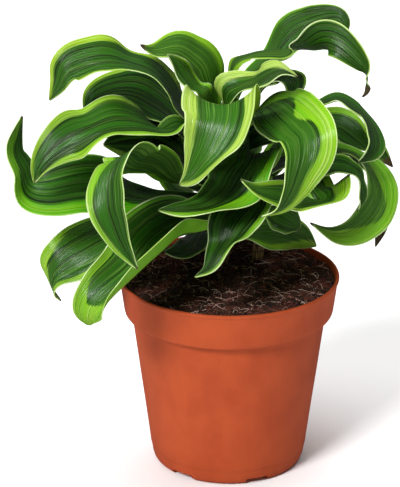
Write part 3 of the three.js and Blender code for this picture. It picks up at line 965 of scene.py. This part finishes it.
def curveAt(points, share):
    # a smooth curve through the points
    last = len(points) - 1
    index = min(int(share * last), last - 1)
    w = share * last - index
    low, high = points[index], points[index + 1]
    before = points[index - 1] if index > 0 else 2 * low - high
    after = points[index + 2] if index + 2 <= last else 2 * high - low
    leave, arrive = (high - before) * 0.5, (after - low) * 0.5
    cubic = (2 * low - 2 * high + leave + arrive) * w ** 3
    return cubic + (-3 * low + 3 * high - 2 * leave - arrive) * w * w + leave * w + low


def widthShare(along):
    rise = min(1, along / leafShape["widest"])
    rise = rise * rise * (3 - 2 * rise)
    fall = max(0, (along - leafShape["widest"]) / (1 - leafShape["widest"]))
    base = leafShape["baseWidth"]
    return (base + (1 - base) * rise) * (1 - fall ** 2.3) + leafShape["tipWidth"]


def midribFrames(row, count):
    # evenly spaced places on the midrib: centre, way along, way across, upward
    name, caneName, height, width, cupping, stations = row
    foot = canePlace(canes[caneName], height)
    outward = Vector((stations[0][0] - foot.x, stations[0][1] - foot.y, 0)).normalized()
    foot = foot + outward * (canes[caneName]["radius"] + 0.9)
    points = [foot] + [Vector(station[:3]) for station in stations]
    sides = [Vector((0, 0, 1)).cross(outward)]
    sides += [Vector(station[3:]).normalized() for station in stations]
    fine = [curveAt(points, k / 200) for k in range(201)]
    lengths = [0.0]
    for low, high in zip(fine, fine[1:]):
        lengths.append(lengths[-1] + (high - low).length)
    total = lengths[-1]
    count = count or max(12, round(total / leafShape["step"]))
    frames = []
    place = 0
    for i in range(count + 1):
        wanted = total * i / count
        while place < 199 and lengths[place + 1] < wanted:
            place += 1
        share = (place + (wanted - lengths[place]) / (lengths[place + 1] - lengths[place])) / 200
        share = min(1, max(0, share))
        ahead = curveAt(points, min(1, share + 0.001)) - curveAt(points, max(0, share - 0.001))
        ahead.normalize()
        across = curveAt(sides, share)
        across = (across - ahead * across.dot(ahead)).normalized()
        frames.append((curveAt(points, share), across, ahead.cross(across)))
    return frames, total


def makeLeaf(row, order, materials):
    name, caneName, height, width, cupping, stations = row
    frames, total = midribFrames(row, None)
    count = len(frames) - 1
    limeLeft, limeRight, yellow, lightness, dryTip = leafPaint.get(name, plainPaint)
    chance = random.Random(order)
    bpy.ops.object.select_all(action="DESELECT")
    bpy.ops.mesh.primitive_grid_add(x_subdivisions=leafShape["across"], y_subdivisions=count, size=1)
    blade = bpy.context.object
    blade.name = name.replace("_", "Blade")
    grain, reach, tone = [], [], []
    rippleTurn = chance.uniform(0, 6)
    aside = Vector(setAside.get(name, (0, 0, 0)))
    for vertex in blade.data.vertices:
        step = round((vertex.co.y + 0.5) * count)
        along = step / count
        side = -2 * vertex.co.x
        centre, across, up = frames[step]
        half = width / 2 * widthShare(along)
        cup = math.radians(cupping) * min(1, 5 * (1 - along)) + 0.0001
        # by the cane the blade curls round it
        clasp = max(0, 1 - along / leafShape["claspReach"])
        cup += (math.radians(leafShape["clasp"]) - cup) * clasp * clasp
        bend = cup * side
        calm = min(1, 4 * along, 4 * (1 - along))
        wavePlace = 2 * math.pi * leafShape["waves"] * along + order + (0 if side > 0 else 2)
        ripplePlace = 2 * math.pi * leafShape["ripples"] * along + rippleTurn + (0 if side > 0 else 2.6)
        wave = leafShape["wave"] * calm * side * side * math.sin(wavePlace)
        wave += leafShape["ripple"] * calm * abs(side) ** 5 * math.sin(ripplePlace + math.sin(5 * along))
        wave -= leafShape["groove"] * calm * math.exp(-(side / 0.13) ** 2)
        normal = up * math.cos(bend) - across * math.sin(bend)
        place = centre + across * (half * math.sin(bend) / cup)
        place = place + up * (half * (1 - math.cos(bend)) / cup) + normal * wave
        vertex.co = (place + aside) * mm
        # the lime margins start narrow by the cane, then swell and thin out at random
        room = widthShare(along) ** 0.6 * min(1, 0.62 + along * 1.3)
        fromLeft, fromRight = half * (1 - side), half * (1 + side)
        swellPlace = along * total / leafShape["swellEvery"]
        swell = [noise.noise(Vector((swellPlace, order * 9.7, k))) * 0.9 + 1 for k in (0, 5)]
        wide = {1: limeLeft * room * swell[0], -1: limeRight * room * swell[1]}
        for part, middle, spread, more in limeSwells.get(name, []):
            wide[part] += more * math.exp(-((along - middle) / spread) ** 2)
        lime = max(wide[1] - fromLeft, wide[-1] - fromRight)
        grain.extend((side, along * total / 100, order))
        reach.extend((lime, min(fromLeft, fromRight), total * (1 - along) - dryTip))
        tone.extend((yellow, lightness, along))
    for label, values in (("grain", grain), ("reach", reach), ("tone", tone)):
        blade.data.attributes.new(label, "FLOAT_VECTOR", "POINT").data.foreach_set("vector", values)
    blade.data.materials.clear()
    for material in materials:
        blade.data.materials.append(material)
    applyModifier(
        blade, "SOLIDIFY", thickness=leafShape["thickness"] * mm, offset=0,
        material_offset=1, material_offset_rim=2)
    applyModifier(blade, "SUBSURF", levels=1, render_levels=1)
    bpy.ops.object.shade_smooth()
    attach(blade, "root")
    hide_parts(name)
    return len(blade.data.polygons)


def leafPatterns(leaf):
    # streaks that run along the blade, fine and broad
    side, along, order = leaf.attribute("grain")
    broad = leaf.grain(leaf.vector(side * 5.5, along * 0.7, order * 7.3), 1.0, 3, 0.6)
    streaks = leaf.grain(leaf.vector(side * 15, along * 0.9, order * 3.1), 1.0, 3, 0.6)
    fine = leaf.grain(leaf.vector(side * 36, along * 1.6, order * 5.7), 1.0, 2, 0.5)
    return broad, streaks, fine


def upperFace():
    leaf = Finish("leafUpper", Roughness=0.3, Specular_IOR_Level=0.42)
    broad, streaks, fine = leafPatterns(leaf)
    lime, edge, tip = leaf.attribute("reach")
    yellow, lightness, along = leaf.attribute("tone")
    bright = leaf.step(broad + lightness * 0.14, 0.44, 0.62)
    middle = leaf.mix(bright, leafTints["deep"], leafTints["middle"])
    middle = leaf.mix(leaf.step(streaks + lightness * 0.14, 0.5, 0.68) * 0.6, middle, leafTints["grey"])
    middle = leaf.mix(leaf.step(fine + lightness * 0.08, 0.58, 0.72) * 0.5, middle, leafTints["light"])
    yellowing = (yellow + (broad - 0.5) * 1.1 + (along - 0.5) * 0.5).limited()
    limeColour = leaf.mix(yellowing, leafTints["limeGreen"], leafTints["limeYellow"])
    pale = leaf.step(streaks, 0.5, 0.66) * yellowing * 0.6
    limeColour = leaf.mix(pale, limeColour, leafTints["limePale"])
    limeColour = leaf.mix((yellow - 1).limited(), limeColour, leafTints["limePale"])
    limeColour = leaf.mix(leaf.step(fine, 0.5, 0.68) * 0.55, limeColour, leafTints["limeDark"])
    border = lime + (broad - 0.5) * 3 + (streaks - 0.5) * 3.6 + (fine - 0.5) * 2.6
    colour = leaf.mix(leaf.step(border, -0.6, 0.8), middle, limeColour)
    paleLine = leaf.step(edge + (broad - 0.5) * 1.8 + (fine - 0.5) * 0.3, 0.5, 0.12)
    colour = leaf.mix(paleLine * 0.85, colour, leafTints["edge"])
    dry = leaf.step(tip + (streaks - 0.5) * 5 + (fine - 0.5) * 2, 0.9, -0.9)
    colour = leaf.mix(dry, colour, leaf.mix(fine, leafTints["dry"], leafTints["dryPale"]))
    leaf.feed("Base Color", colour)
    nearCane = leaf.step(along, 0.3, 0.08)
    leaf.feed("Roughness", 0.2 + streaks * 0.16 + dry * 0.4 + nearCane * 0.3)
    leaf.bump(streaks * 0.5 + fine * 0.5, 0.0009, 0.9)
    return leaf.material


def lowerFace():
    leaf = Finish("leafUnder", Roughness=0.5, Specular_IOR_Level=0.18)
    broad, streaks, fine = leafPatterns(leaf)
    lime, edge, tip = leaf.attribute("reach")
    yellow, lightness, along = leaf.attribute("tone")
    pale = leaf.step(streaks + lightness * 0.1, 0.46, 0.68)
    middle = leaf.mix(pale, leafTints["under"], leafTints["underPale"])
    limeColour = leaf.mix(yellow, leafTints["limeGreen"], leafTints["limeYellow"])
    limeColour = leaf.mix(0.45, limeColour, leafTints["underPale"])
    colour = leaf.mix(leaf.step(lime + (streaks - 0.5) * 5, -0.8, 0.8), middle, limeColour)
    dry = leaf.step(tip + (streaks - 0.5) * 5 + (fine - 0.5) * 2, 0.9, -0.9)
    colour = leaf.mix(dry, colour, leaf.mix(fine, leafTints["dry"], leafTints["dryPale"]))
    leaf.feed("Base Color", colour)
    leaf.feed("Roughness", 0.42 + fine * 0.2)
    leaf.bump(streaks * 0.6 + fine * 0.4, 0.0004, 0.7)
    return leaf.material


def bladeRim():
    rim = Finish("leafRim", Roughness=0.4)
    tip = rim.attribute("reach")[2]
    side, along, order = rim.attribute("grain")
    patches = rim.grain(rim.vector(side * 3, along * 6, order), 1.0, 3)
    colour = rim.mix(rim.step(patches, 0.38, 0.56) * 0.8, leafTints["edge"], leafTints["limeYellow"])
    dry = rim.step(tip + (patches - 0.5) * 6, 0.9, -0.9)
    rim.feed("Base Color", rim.mix(dry, colour, leafTints["dry"]))
    return rim.material


def makeLeaves():
    materials = [upperFace(), lowerFace(), bladeRim()]
    faces = 0
    for order, row in enumerate(leafRows):
        faces += makeLeaf(row, order, materials)
    print("leaves:", len(leafRows), "blades,", faces, "faces")


makeStudio()
print("studio made")
makePot()
makeSoil()
makeCanes()
makeLeaves()
boxes = {"cad": cadBox, "visual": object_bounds()}
boxes = {name: [list(corner) for corner in box] for name, box in boxes.items()}
